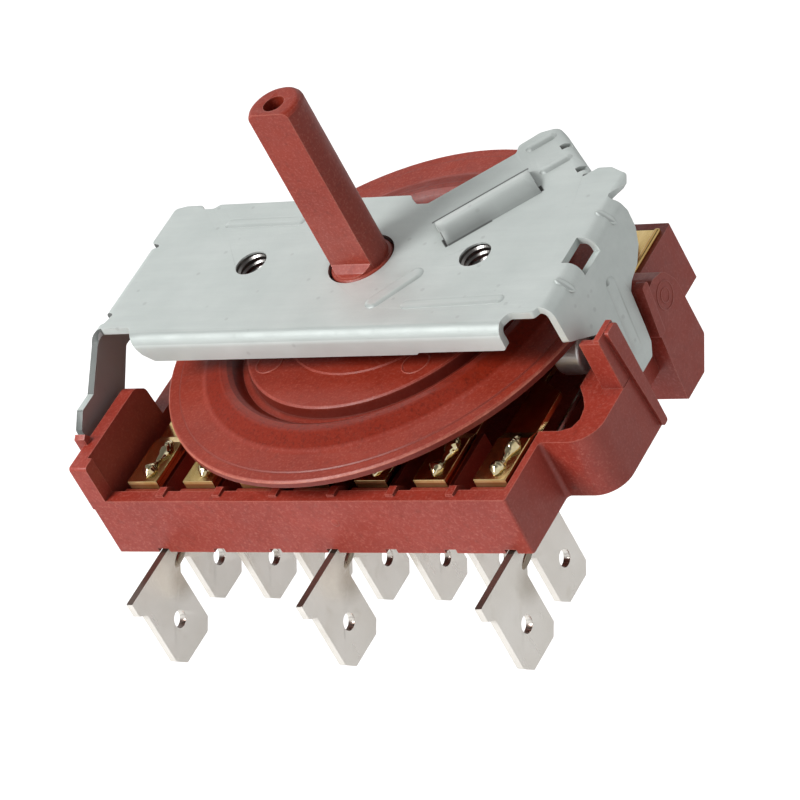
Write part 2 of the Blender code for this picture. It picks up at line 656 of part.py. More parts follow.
def roller_axle():
    half = AXLE_LEN / 2
    made = lathe("axle", [(0, half), (AXLE_R - 0.1, half), (AXLE_R, half - 0.1), (AXLE_R, 0.1 - half),
                          (AXLE_R - 0.1, -half), (0, -half)], 32)
    made.data.transform(turn_to_x())
    made.location = Vector((ROLLER_X, ROLLER_Y, ROLLER_Z)) * MM
    return made


def turn_to_x():
    return Matrix.Rotation(math.pi / 2, 4, "Y")


def detent_spring():
    path = []
    turns = 2.75
    rise = 0.85
    start = math.pi + 2 * math.pi * turns
    low = ARM_Z - rise * turns
    count = int(turns * 28)
    for k in range(count + 1):
        f = k / count
        a = start - 2 * math.pi * turns * f
        path.append((COIL_X + COIL_R * math.cos(a), COIL_Y + COIL_R * math.sin(a), low + rise * turns * f))
    arm_start = Vector(path[-1])
    arm_end = Vector((ROLLER_X + 0.1, ROLLER_Y + 1.6, ARM_Z))
    for k in range(1, 9):
        p = arm_start.lerp(arm_end, k / 8)
        path.append(tuple(p))
    return wire("spring", path, WIRE_R, 8)


def build():
    clear_scene()
    red = (0.36, 0.065, 0.045)
    base_look = material("base_moulding", red, 0.0, 0.55)
    cam_look = material("cam_moulding", (0.38, 0.07, 0.05), 0.0, 0.5)
    zinc = material("zinc_sheet", (0.62, 0.66, 0.64), 0.85, 0.38)

    dress(base(), "base_housing", base_look)
    dress(cam_disc(), "cam_disc", cam_look)
    dress(bracket(), "bracket", zinc)
    for k in range(POLES):
        brass = material("brass_%d" % (k + 1), (0.72, 0.5, 0.22), 1.0, 0.25)
        dress(blade(k), "contact_blade_%d" % (k + 1), brass)
        nickel = material("plate_%d" % (k + 1), (0.68, 0.65, 0.6), 1.0, 0.32)
        dress(terminal(k), "terminal_%d" % (k + 1), nickel)
        silver = material("tip_%d" % (k + 1), (0.8, 0.79, 0.76), 1.0, 0.3)
        tip = lathe("tip", [(0, TIP_TOP), (TIP_R, TIP_TOP), (TIP_R, TIP_TOP - TIP_T + 0.2),
                            (TIP_R - 0.25, TIP_TOP - TIP_T), (0, TIP_TOP - TIP_T)], 24)
        tip.location = Vector((POLE_X[k], TIP_Y, 0)) * MM
        dress(tip, "contact_tip_%d" % (k + 1), silver)
    bus_look = material("bus_brass", (0.72, 0.5, 0.22), 1.0, 0.3)
    bus = box("bus", POLE_X[0] - 2.6, POLE_X[-1] + 2.0, TIP_Y - 1.2, TIP_Y + 0.8, BUS_TOP - BUS_T, BUS_TOP)
    dress(bus, "bus_bar", bus_look)
    steel = material("roller_steel", (0.7, 0.7, 0.7), 1.0, 0.15)
    dress(detent_roller(), "detent_roller", steel)
    axle_steel = material("axle_steel", (0.6, 0.6, 0.6), 1.0, 0.25)
    dress(roller_axle(), "roller_axle", axle_steel)
    spring_steel = material("spring_steel", (0.55, 0.55, 0.55), 1.0, 0.3)
    dress(detent_spring(), "detent_spring", spring_steel)


build()
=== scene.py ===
import math
import random

import bmesh
import bpy
from mathutils import Matrix, Vector


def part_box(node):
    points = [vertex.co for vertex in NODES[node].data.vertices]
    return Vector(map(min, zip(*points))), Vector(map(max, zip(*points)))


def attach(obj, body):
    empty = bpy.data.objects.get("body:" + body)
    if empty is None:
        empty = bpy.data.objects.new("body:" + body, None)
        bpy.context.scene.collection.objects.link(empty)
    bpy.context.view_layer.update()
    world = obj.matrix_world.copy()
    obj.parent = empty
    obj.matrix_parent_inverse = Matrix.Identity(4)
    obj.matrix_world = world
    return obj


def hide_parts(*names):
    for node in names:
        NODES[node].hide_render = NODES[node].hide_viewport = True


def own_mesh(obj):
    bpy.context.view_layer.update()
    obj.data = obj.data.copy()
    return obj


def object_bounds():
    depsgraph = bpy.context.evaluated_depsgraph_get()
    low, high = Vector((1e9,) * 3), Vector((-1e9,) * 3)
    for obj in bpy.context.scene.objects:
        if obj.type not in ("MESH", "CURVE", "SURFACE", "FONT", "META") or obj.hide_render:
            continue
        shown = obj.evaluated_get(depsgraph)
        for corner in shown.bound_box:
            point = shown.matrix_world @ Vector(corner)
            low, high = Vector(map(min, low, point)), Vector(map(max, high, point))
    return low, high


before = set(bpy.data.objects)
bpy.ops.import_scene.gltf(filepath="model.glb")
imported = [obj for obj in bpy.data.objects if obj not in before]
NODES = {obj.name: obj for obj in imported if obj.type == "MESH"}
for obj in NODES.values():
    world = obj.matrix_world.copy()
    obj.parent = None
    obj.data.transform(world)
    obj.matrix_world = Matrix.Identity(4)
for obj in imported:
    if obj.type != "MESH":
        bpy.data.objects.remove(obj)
cad_low, cad_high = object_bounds()

MM = 0.001
SIN_45 = 0.70711
COLLECTION = bpy.context.scene.collection

POLES = range(1, 8)
MIDDLE_POLE = 4
DOUBLE_POLES = (1, 4, 7)
BEAD_SEED = 40

# Dimensions in mm: X and Y from the shaft's axis, Z from the bracket's top

SCREW_X = 14.0
BLADE_WIDTH = 3.8
TERMINAL_SHIFT = 0.6
BLADE_FRONT_RISE = 0.42
BEAD_FRONT = -20.2
BEAD_REAR = -14.6
BEAD_SHIFT = -0.2
HUB_FACE = -5.85
LUG_FACE = 28.2


# Camera

def add_camera():
    """A long lens at the photo's viewing angle."""
    data = bpy.data.cameras.new("camera")
    data.sensor_width = 36.0
    data.lens = 225.0
    data.clip_start = 0.02
    data.clip_end = 20.0
    made = bpy.data.objects.new("camera", data)
    COLLECTION.objects.link(made)
    right = Vector((0.801949, 0.427700, -0.417074))
    down = Vector((-0.014443, -0.684071, -0.729272))
    ahead = Vector((-0.597218, 0.590863, -0.542413))
    turn = Matrix((right, -down, -ahead)).transposed().to_4x4()
    turn.translation = Vector((0.300742, -0.302651, 0.258605))
    made.matrix_world = turn
    bpy.context.scene.camera = made


# Node trees

def wire(tree, value, socket):
    """Links a socket to a socket, or sets a plain value."""
    if isinstance(value, bpy.types.NodeSocket):
        tree.links.new(value, socket)
    else:
        socket.default_value = value


def shader_math(tree, kind, *values):
    """A math node on sockets and plain numbers."""
    made = tree.nodes.new("ShaderNodeMath")
    made.operation = kind
    for value, socket in zip(values, made.inputs):
        wire(tree, value, socket)
    return made.outputs[0]


class Tree:
    """A material and short ways to wire its shader nodes."""

    def __init__(self, name):
        self.material = bpy.data.materials.new(name)
        self.material.use_nodes = True
        self.tree = self.material.node_tree
        self.shader = self.tree.nodes["Principled BSDF"]
        self.place = self.add("ShaderNodeTexCoord").outputs["Object"]

    def add(self, kind, **values):
        """A new node with these values."""
        made = self.tree.nodes.new(kind)
        for key, value in values.items():
            setattr(made, key, value)
        return made

    def put(self, value, socket):
        wire(self.tree, value, socket)

    def math(self, kind, *values):
        return shader_math(self.tree, kind, *values)

    def product(self, first, *others):
        """All the values multiplied."""
        for other in others:
            first = self.math("MULTIPLY", first, other)
        return first

    def split(self, vector):
        """The X, Y and Z of a vector."""
        made = self.add("ShaderNodeSeparateXYZ")
        self.put(vector, made.inputs[0])
        return made.outputs

    def facing(self):
        """The X, Y and Z of the surface's normal."""
        return self.split(self.add("ShaderNodeNewGeometry").outputs["Normal"])

    def distance(self, a, b):
        """The length of the way a on one axis and b on another."""
        squares = self.math("ADD", self.math("POWER", a, 2.0), self.math("POWER", b, 2.0))
        return self.math("SQRT", squares)

    def span(self, value, low, high, out_low, out_high):
        """Goes from out_low at low to out_high at high, and is level beyond them."""
        made = self.add("ShaderNodeMapRange")
        self.put(value, made.inputs["Value"])
        made.inputs["From Min"].default_value = low
        made.inputs["From Max"].default_value = high
        made.inputs["To Min"].default_value = out_low
        made.inputs["To Max"].default_value = out_high
        return made.outputs["Result"]

    def rise(self, value, start, end, most=1.0):
        """0 at start, most at end."""
        return self.span(value, start, end, 0.0, most)

    def fall(self, value, start, end, most=1.0):
        """Most at start, 0 at end."""
        return self.span(value, start, end, most, 0.0)

    def within(self, value, low, high, soft=0.06):
        """1 from low to high in mm, with soft limits."""
        after_low = self.rise(value, (low - soft) * MM, (low + soft) * MM)
        before_high = self.fall(value, (high - soft) * MM, (high + soft) * MM)
        return self.product(after_low, before_high)

    def mix(self, amount, a, b):
        """From colour a at 0 to colour b at 1."""
        made = self.add("ShaderNodeMix", data_type="RGBA")
        self.put(amount, made.inputs["Factor"])
        self.put(a if isinstance(a, bpy.types.NodeSocket) else (*a, 1.0), made.inputs[6])
        self.put(b if isinstance(b, bpy.types.NodeSocket) else (*b, 1.0), made.inputs[7])
        return made.outputs[2]

    def noise(self, scale, detail=3.0, rough=0.5, stretch=None):
        """Soft noise from 0 to 1, drawn out along an axis where stretch has a small share."""
        where = self.place
        if stretch:
            mapping = self.add("ShaderNodeMapping")
            mapping.inputs["Scale"].default_value = stretch
            self.put(where, mapping.inputs["Vector"])
            where = mapping.outputs["Vector"]
        made = self.add("ShaderNodeTexNoise")
        self.put(where, made.inputs["Vector"])
        made.inputs["Scale"].default_value = scale
        made.inputs["Detail"].default_value = detail
        made.inputs["Roughness"].default_value = rough
        return made.outputs["Fac"]

    def specks(self, scale, size):
        """1 on small scattered dots."""
        made = self.add("ShaderNodeTexVoronoi")
        self.put(self.place, made.inputs["Vector"])
        made.inputs["Scale"].default_value = scale
        return self.rise(made.outputs["Distance"], size, size * 0.5)

    def edge(self, width):
        """1 on sharp edges, 0 on flat faces. Width is in mm."""
        flat = 0.995
        sharp = 0.9
        bevel = self.add("ShaderNodeBevel", samples=4)
        bevel.inputs["Radius"].default_value = width * MM
        plain = self.add("ShaderNodeNewGeometry")
        dot = self.add("ShaderNodeVectorMath", operation="DOT_PRODUCT")
        self.put(bevel.outputs["Normal"], dot.inputs[0])
        self.put(plain.outputs["Normal"], dot.inputs[1])
        return self.rise(dot.outputs["Value"], flat, sharp)

    def nook(self, reach, deep, open_air, most):
        """Most in nooks, 0 in the open. Reach is in mm."""
        made = self.add("ShaderNodeAmbientOcclusion", samples=6)
        made.inputs["Distance"].default_value = reach * MM
        return self.fall(made.outputs["AO"], deep, open_air, most)

    def finish(self, colour, rough, metallic, height, depth, strength):
        """Wires the shader. Height is a bump of this depth in mm."""
        self.put(colour, self.shader.inputs["Base Color"])
        self.put(rough, self.shader.inputs["Roughness"])
        self.put(metallic, self.shader.inputs["Metallic"])
        bump = self.add("ShaderNodeBump")
        bump.inputs["Strength"].default_value = strength
        bump.inputs["Distance"].default_value = depth * MM
        self.put(height, bump.inputs["Height"])
        self.put(bump.outputs["Normal"], self.shader.inputs["Normal"])
        return self.material


def dimmed(colour, share):
    """A share of a colour's light."""
    return tuple(c * share for c in colour)


# Looks of the mouldings

def moulding(name, dark, light, speck, speckled, shade_in_nooks, tones):
    """Filled thermoset plastic: mottled and speckled, with a painted highlight on its edges, one piece's
    own tones and painted shade in its nooks.
    """
    edge_highlight_red = (0.68, 0.24, 0.18)
    t = Tree(name)
    colour = t.mix(t.rise(t.noise(150.0, 4.0, 0.6), 0.3, 0.7), dark, light)
    colour = t.mix(t.rise(t.noise(3600.0, 3.0, 0.7), 0.5, 0.72, speckled), colour, speck)
    colour = t.mix(t.rise(t.noise(1500.0, 2.0, 0.6), 0.55, 0.75, 0.4), colour, dimmed(dark, 0.6))
    # Painted highlight on the edges
    colour = t.mix(t.product(t.edge(0.18), 0.5), colour, edge_highlight_red)
    colour = tones(t, colour)
    # Painted shade in nooks, by ambient occlusion
    colour = t.mix(t.nook(2.2, 0.25, 0.95, shade_in_nooks), colour, dimmed(dark, 0.22))
    rough = t.span(t.noise(700.0), 0.2, 0.8, 0.38, 0.55)
    height = t.math("ADD", t.noise(2600.0, 4.0, 0.7), t.product(t.noise(500.0, 2.0), 0.8))
    return t.finish(colour, rough, 0.0, height, 0.05, 0.4)


def base_tones(t, colour):
    """Painted sheen: the base's faces towards +X are made paler."""
    sheen_red = (0.47, 0.095, 0.07)
    return t.mix(t.rise(t.facing()["X"], 0.3, 0.8, 0.4), colour, sheen_red)


def disc_tones(t, colour):
    """The cam disc's rings, by their distance from the shaft's axis: painted shade on the ridge, the hub's
    wall, the rim's side and along the step, and a painted highlight on the rim's lip.
    """
    step_shade_red = (0.17, 0.012, 0.005)
    step_radius = 23.55 * MM
    spot = t.split(t.place)
    radius = t.distance(spot["X"], spot["Y"])
    on_top = t.math("GREATER_THAN", spot["Z"], -7.4 * MM)
    colour = ridge_tones(t, colour, radius, on_top)
    colour = hub_tones(t, colour, radius, spot["Z"])
    colour = rim_tones(t, colour, radius, spot["Z"])
    # Painted shade in a thin ring along the step
    from_step = t.math("ABSOLUTE", t.math("SUBTRACT", radius, step_radius))
    step = t.product(t.fall(from_step, 0.06 * MM, 0.18 * MM, 0.55), on_top)
    return t.mix(step, colour, step_shade_red)


def ridge_tones(t, colour, radius, on_top):
    """The round ridge outside the hub: painted shade in deep red, gritty and dull, with a glossy crest."""
    ridge_shade_red = (0.215, 0.014, 0.003)
    grit_red = (0.07, 0.006, 0.003)
    ridge = t.product(t.rise(radius, 20.7 * MM, 20.3 * MM), t.rise(radius, 16.0 * MM, 17.0 * MM), on_top)
    # Painted shade over the ridge
    colour = t.mix(t.product(ridge, 0.72), colour, ridge_shade_red)
    grit = t.product(ridge, t.rise(t.noise(2600.0, 3.0, 0.8), 0.5, 0.66, 0.5))
    crest = t.product(t.rise(radius, 16.8 * MM, 17.4 * MM), t.fall(radius, 18.2 * MM, 18.8 * MM))
    gloss = t.math("ADD", t.span(ridge, 0.0, 1.0, 0.5, 0.2), t.product(crest, 0.5))
    t.put(gloss, t.shader.inputs["Specular IOR Level"])
    return t.mix(grit, colour, grit_red)


def hub_tones(t, colour, radius, z):
    """Painted shade on the hub's side wall, darker towards its foot."""
    wall_shade_red = (0.10, 0.009, 0.004)
    wall = t.product(t.rise(radius, 15.25 * MM, 15.4 * MM), t.fall(radius, 15.7 * MM, 16.0 * MM))
    low = t.rise(z, -5.9 * MM, -6.2 * MM, 0.7)
    return t.mix(t.product(wall, low), colour, wall_shade_red)


def rim_tones(t, colour, radius, z):
    """A painted highlight on the rim's lip, ragged by noise, and painted shade on the side below it."""
    lip_highlight_red = (0.66, 0.26, 0.18)
    side_shade_red = (0.15, 0.014, 0.007)
    ragged_lip_and_groove_shade = t.span(t.noise(900.0), 0.35, 0.6, 0.3, 1.0)
    on_lip = t.math("GREATER_THAN", z, -7.22 * MM)
    lip = t.product(t.rise(radius, 24.7 * MM, 24.8 * MM, 0.45), ragged_lip_and_groove_shade, on_lip)
    below_lip = t.math("LESS_THAN", z, -7.28 * MM)
    side = t.product(t.rise(radius, 24.78 * MM, 24.86 * MM, 0.6), below_lip)
    return t.mix(side, t.mix(lip, colour, lip_highlight_red), side_shade_red)


# Looks of the metals

def zinc():
    """Rolled steel sheet with a matt zinc plating."""
    dark_zinc = (0.66, 0.715, 0.69)
    light_zinc = (0.74, 0.79, 0.765)
    grain_grey = (0.56, 0.60, 0.59)
    speck_grey = (0.36, 0.38, 0.37)
    edge_highlight_grey = (0.82, 0.83, 0.8)
    nook_shade_grey = (0.16, 0.165, 0.16)
    t = Tree("zinc_plating")
    grain = t.noise(900.0, 4.0, 0.6, (0.12, 1.0, 1.0))
    colour = t.mix(t.rise(t.noise(120.0, 4.0, 0.6), 0.3, 0.7), dark_zinc, light_zinc)
    colour = t.mix(t.rise(grain, 0.35, 0.7, 0.2), colour, grain_grey)
    colour = t.mix(t.product(t.specks(420.0, 0.13), 0.25), colour, speck_grey)
    # Painted highlight on the edges
    colour = t.mix(t.product(t.edge(0.15), 0.4), colour, edge_highlight_grey)
    # Painted shade in nooks, by ambient occlusion
    colour = t.mix(t.nook(1.6, 0.3, 0.95, 0.65), colour, nook_shade_grey)
    colour = fold_tones(t, colour)
    colour = louvre_tones(t, colour)
    rough = t.span(t.noise(260.0, 4.0, 0.65), 0.25, 0.75, 0.5, 0.62)
    height = t.math("ADD", grain, t.noise(3000.0, 2.0))
    return t.finish(colour, rough, 0.55, height, 0.03, 0.3)


def fold_tones(t, colour):
    """Painted shade in grey on the slope of the front fold and on the inner face of the left leg, and dark
    grey on the leg's cut edge.
    """
    slope_shade_grey = (0.29, 0.315, 0.305)
    cut_grey = (0.07, 0.074, 0.072)
    inner_shade_grey = (0.33, 0.31, 0.31)
    slope_facing = -0.6
    facing = t.facing()
    off_slope = t.math("ABSOLUTE", t.math("SUBTRACT", facing["Y"], slope_facing))
    upward = t.math("GREATER_THAN", facing["Z"], 0.3)
    # Painted shade on the fold's slope
    colour = t.mix(t.product(t.fall(off_slope, 0.16, 0.52, 0.74), upward), colour, slope_shade_grey)
    on_leg = t.math("LESS_THAN", t.split(t.place)["X"], -28.2 * MM)
    cut = t.product(t.math("LESS_THAN", facing["Y"], -0.4), on_leg, 0.85)
    colour = t.mix(cut, colour, cut_grey)
    # Painted shade on the leg's inner face
    inner = t.product(t.math("GREATER_THAN", facing["X"], 0.5), on_leg, 0.75)
    return t.mix(inner, colour, inner_shade_grey)


def louvre_tones(t, colour):
    """Painted shade on the louvre's near flank, a painted highlight on its crest, and painted shadow in
    dark lines where it is sheared free.
    """
    flank_grey = (0.13, 0.135, 0.13)
    crest_grey = (0.86, 0.88, 0.86)
    shadow_line_grey = (0.05, 0.05, 0.048)
    # Each line's limits across and along the louvre in mm, and its strength: far, near, left and right
    lines = (
        ((-0.95, -0.67), (7.9, 18.9), 0.75),
        ((-6.17, -5.97), (8.1, 13.1), 0.8),
        ((-6.1, -4.6), (7.78, 8.1), 1.0),
        ((-5.9, -4.8), (18.68, 19.05), 1.0),
    )
    spot = t.split(t.place)
    across = t.product(t.math("SUBTRACT", spot["Y"], spot["X"]), SIN_45)
    along = t.product(t.math("ADD", spot["Y"], spot["X"]), SIN_45)
    on_crown = t.math("GREATER_THAN", spot["Z"], 0.02 * MM)
    on_louvre = t.product(t.within(along, 8.0, 18.8), t.within(across, -6.2, -1.0), on_crown)
    deep = t.span(along, 14.2 * MM, 12.2 * MM, 0.25, 0.62)
    flank = t.product(t.rise(across, -3.9 * MM, -5.7 * MM), deep, on_louvre)
    colour = t.mix(flank, colour, flank_grey)
    crest = t.product(t.within(across, -3.4, -2.6, 0.5), on_louvre, 0.5)
    colour = t.mix(crest, colour, crest_grey)
    # Painted shadow lines
    line = 0.0
    for (near, far), (left, right), strength in lines:
        drawn_line = t.product(t.within(across, near, far), t.within(along, left, right), strength)
        line = t.math("MAXIMUM", line, drawn_line)
    on_top = t.math("GREATER_THAN", spot["Z"], -0.05 * MM)
    return t.mix(t.product(line, on_top), colour, shadow_line_grey)


def brass(name, dark, light, smooth, rough, front=False):
    """Rolled brass with grain along Y. A blade's front has a bright front face with a red-gold foot."""
    edge_highlight_gold = (0.95, 0.74, 0.42)
    foot_gold = (0.36, 0.10, 0.035)
    t = Tree(name)
    colour = t.mix(t.rise(t.noise(420.0, 4.0, 0.65, (1.0, 0.35, 1.0)), 0.32, 0.68), dark, light)
    # Painted highlight on the edges
    colour = t.mix(t.product(t.edge(0.1), 0.5), colour, edge_highlight_gold)
    grain = t.noise(1400.0, 3.0, 0.6, (1.0, 0.08, 1.0))
    metallic = 1.0
    if front:
        metallic = t.span(t.facing()["Y"], -0.7, -0.3, 0.5, 1.0)
        foot = t.rise(t.split(t.place)["Z"], -11.12 * MM, -11.20 * MM, 0.75)
        colour = t.mix(foot, colour, foot_gold)
    return t.finish(colour, t.span(grain, 0.3, 0.7, smooth, rough), metallic, grain, 0.02, 0.3)


def nickel():
    """Plated tab: warm silver with tarnished patches, a painted dark reflection on its upward edges and by
    its groove, and painted shade in its nooks.
    """
    dark_nickel = (0.84, 0.80, 0.735)
    light_nickel = (0.92, 0.885, 0.83)
    tarnish_brown = (0.62, 0.56, 0.46)
    reflection_brown = (0.36, 0.30, 0.23)
    upward_reflection_brown = (0.10, 0.055, 0.04)
    nook_shade_brown = (0.10, 0.075, 0.055)
    reflection_y = -23.8 * MM
    reflection_z = -21.6 * MM
    t = Tree("tab_plating")
    colour = t.mix(t.rise(t.noise(190.0, 4.0, 0.6), 0.3, 0.72), dark_nickel, light_nickel)
    colour = t.mix(t.rise(t.noise(330.0, 3.0, 0.6), 0.58, 0.75, 0.4), colour, tarnish_brown)
    spot = t.split(t.place)
    # Painted dark reflection near the groove
    from_reflection = t.distance(t.math("SUBTRACT", spot["Y"], reflection_y), t.math("SUBTRACT", spot["Z"], reflection_z))
    colour = t.mix(t.fall(from_reflection, 0.7 * MM, 2.6 * MM, 0.5), colour, reflection_brown)
    # Painted dark reflection on faces that face up
    colour = t.mix(t.rise(t.facing()["Z"], 0.55, 0.8, 0.93), colour, upward_reflection_brown)
    # Painted shade in nooks, by ambient occlusion
    colour = t.mix(t.nook(1.2, 0.3, 0.9, 0.85), colour, nook_shade_brown)
    grain = t.noise(1100.0, 3.0, 0.6, (1.0, 1.0, 0.12))
    return t.finish(colour, t.span(grain, 0.3, 0.7, 0.17, 0.28), 0.75, grain, 0.02, 0.3)


def steel(name, tint, smooth, rough, metallic=1.0, strength=0.25):
    """Plain steel with grain around its X axis."""
    t = Tree(name)
    ring = t.noise(1500.0, 3.0, 0.6, (1.0, 0.15, 0.15))
    colour = t.mix(t.rise(ring, 0.3, 0.7), dimmed(tint, 0.95), tint)
    return t.finish(colour, t.span(ring, 0.3, 0.7, smooth, rough), metallic, ring, 0.01, strength)


def paint(thing, look):
    thing.data.materials.clear()
    thing.data.materials.append(look)


def soften_edges(thing, width, segments=2, angle=38.0):
    """Small rounded edges on a CAD node, by modifiers only. Width is in mm, angle in degrees."""
    weld = thing.modifiers.new("weld", "WELD")
    weld.merge_threshold = 0.002 * MM
    bevel = thing.modifiers.new("edge", "BEVEL")
    bevel.width = width * MM
    bevel.segments = segments
    bevel.limit_method = "ANGLE"
    bevel.angle_limit = math.radians(angle)
    bevel.use_clamp_overlap = True
    normal = thing.modifiers.new("normal", "WEIGHTED_NORMAL")
    normal.keep_sharp = False
    normal.weight = 60


# Ways to make the fine pieces, with sizes in mm


def made_object(name, bm, look, body, smooth=True):
    """A piece that rides on a body and has its look's slot."""
    bmesh.ops.recalc_face_normals(bm, faces=bm.faces)
    mesh = bpy.data.meshes.new(name)
    bm.to_mesh(mesh)
    bm.free()
    if smooth:
        for face in mesh.polygons:
            face.use_smooth = True
    made = bpy.data.objects.new(name, mesh)
    COLLECTION.objects.link(made)
    paint(made, look)
    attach(made, body)
    return made


def add_point(bm, x, y, z):
    return bm.verts.new(Vector((x, y, z)) * MM)


def join_rows(bm, rows, closed=True):
    """Faces between neighbouring rows of points. A closed row ends where it starts."""
    count = len(rows[0])
    for one, two in zip(rows, rows[1:]):
        for i in range(count if closed else count - 1):
            j = (i + 1) % count
            bm.faces.new([one[i], one[j], two[j], two[i]])


def close_ends(bm, rows):
    """A face over the first row and one over the last."""
    bm.faces.new(rows[0])
    bm.faces.new(rows[-1])


def bars(name, spans, side, look, body, rounding):
    """Bars along X with one side profile of (y, z) points, one for each (x low, x high)."""
    bm = bmesh.new()
    for span in spans:
        rows = [[add_point(bm, x, y, z) for y, z in side] for x in span]
        join_rows(bm, rows)
        close_ends(bm, rows)
    made = made_object(name, bm, look, body, smooth=False)
    bevel = made.modifiers.new("edge", "BEVEL")
    bevel.width = rounding * MM
    bevel.segments = 2


def dome(name, where, radii, look, tilt=0.0, axis="X", segments=28, rings=14):
    """An ellipsoid half sunk in a surface, tilted by degrees about an axis."""
    bm = bmesh.new()
    bmesh.ops.create_uvsphere(bm, u_segments=segments, v_segments=rings, radius=1.0)
    place = Matrix.Translation(Vector(where) * MM)
    turn = Matrix.Rotation(math.radians(tilt), 4, axis)
    shape = Matrix.Diagonal((*(r * MM for r in radii), 1.0))
    bmesh.ops.transform(bm, matrix=place @ turn @ shape, verts=bm.verts)
    made_object(name, bm, look, "housing")


def ring_mark(name, where, radius, look, body, width, sideways=False):
    """A shallow raised ring, such as an ejector pin's mark, facing up or sideways to +X."""
    height = 0.05
    foot = -0.05
    steps = 40
    profile = ((radius - width, foot), (radius - width / 2, height), (radius + width / 2, height),
               (radius + width, foot))
    bm = bmesh.new()
    rows = []
    for k in range(steps):
        a = 2 * math.pi * k / steps
        row = []
        for r, h in profile:
            u = r * math.cos(a)
            v = r * math.sin(a)
            offset = Vector((h, u, v) if sideways else (u, v, h))
            row.append(add_point(bm, *(Vector(where) + offset)))
        rows.append(row)
    join_rows(bm, rows + rows[:1])
    made_object(name, bm, look, body)


# Fine pieces

def screw_thread(name, x, look):
    """The turns of an M4 thread inside a screw hole's collar, and the sleeve that carries them."""
    pitch = 0.7
    outer = 1.80
    inner = 1.52
    top = -0.42
    turns = 3.2
    turn_steps = 40
    runout_steps = 12
    root_half = 0.3
    crest_half = 0.06
    sleeve_radius = 1.735
    sleeve_heights = (-0.2, -2.45)
    sleeve_steps = 48
    steps = int(turns * turn_steps)
    bm = bmesh.new()
    rows = []
    for k in range(steps + 1):
        a = 2 * math.pi * k / turn_steps
        z = top - pitch * k / turn_steps
        ramp = min(1.0, k / runout_steps, (steps - k) / runout_steps)
        crest = outer - (outer - inner) * ramp
        profile = ((outer, root_half), (crest, crest_half), (crest, -crest_half), (outer, -root_half))
        rows.append([add_point(bm, x + r * math.cos(a), r * math.sin(a), z + dz) for r, dz in profile])
    join_rows(bm, rows)
    close_ends(bm, rows)
    angles = [2 * math.pi * k / sleeve_steps for k in range(sleeve_steps)]
    sleeve = []
    for z in sleeve_heights:
        sleeve.append([add_point(bm, x + sleeve_radius * math.cos(a), sleeve_radius * math.sin(a), z)
                       for a in angles])
    join_rows(bm, sleeve)
    made_object(name, bm, look, "housing", smooth=False)


def stake_bead(name, x, z, look, seed):
    """Worked metal over a terminal's tang: two bright lumps joined by a low narrow neck."""
    rings = 30
    sides = 18
    front_place = 0.17
    front_spread = 0.13
    rear_place = 0.72
    rear_spread = 0.2
    end_size = 0.01
    sway = 0.22
    shake = 0.03
    dent = 0.17
    underside = 0.12
    rng = random.Random(seed)
    bm = bmesh.new()
    rows = []
    for k in range(rings + 1):
        f = k / rings
        end = math.sqrt(max(0.0, 1.0 - abs(2 * f - 1) ** 5))
        front = math.exp(-((f - front_place) / front_spread) ** 2)
        rear = math.exp(-((f - rear_place) / rear_spread) ** 2)
        wide = (0.26 + 0.62 * front + 0.5 * rear) * end + end_size
        tall = (0.22 + 0.66 * front + 0.62 * rear) * end + end_size
        lean = sway * (rear - front) + rng.uniform(-shake, shake)
        row = []
        for s in range(sides):
            a = 2 * math.pi * s / sides
            bump = 1.0 + rng.uniform(-dent, dent)
            px = x + lean + wide * bump * math.cos(a)
            pz = z + tall * bump * math.sin(a) * (1.0 if math.sin(a) > 0 else underside)
            row.append(add_point(bm, px, BEAD_FRONT + (BEAD_REAR - BEAD_FRONT) * f, pz))
        rows.append(row)
    join_rows(bm, rows)
    close_ends(bm, rows)
    made = made_object(name, bm, look, "housing")
    sub = made.modifiers.new("smooth", "SUBSURF")
    sub.levels = 1
    sub.render_levels = 1


def louvre_crown(look):
    """The skin of the louvre: a lopsided arch along the bracket's diagonal, closed down at both ends."""
    middle = -3.68
    near = -2.35
    far = 2.2
    peak = 0.2
    near_power = 0.8
    far_power = 0.6
    rise = 1.13
    lift = 0.01
    start = 8.12
    length = 10.5
    steps = 14
    sides = 32
    # Places along the louvre, and the share of the rise there
    stations = [(start - 0.10, 0.0), (start - 0.08, 0.9), (start, 1.0)]
    stations += [(start + length * k / steps, 1.0) for k in range(1, steps + 1)]
    stations += [(start + length + 0.08, 0.9), (start + length + 0.12, 0.0)]
    bm = bmesh.new()
    rows = []
    for along, share in stations:
        row = []
        for k in range(sides + 1):
            w = near + (far - near) * k / sides
            reach = (peak - near) if w < peak else (far - peak)
            power = near_power if w < peak else far_power
            up = rise * max(0.0, math.cos(math.pi / 2 * abs(w - peak) / reach)) ** power * share
            across = middle + w
            x = (along - across) / math.sqrt(2)
            y = (along + across) / math.sqrt(2)
            row.append(add_point(bm, x, y, up + lift))
        rows.append(row)
    join_rows(bm, rows, closed=False)
    made_object("louvre_crown", bm, look, "housing")


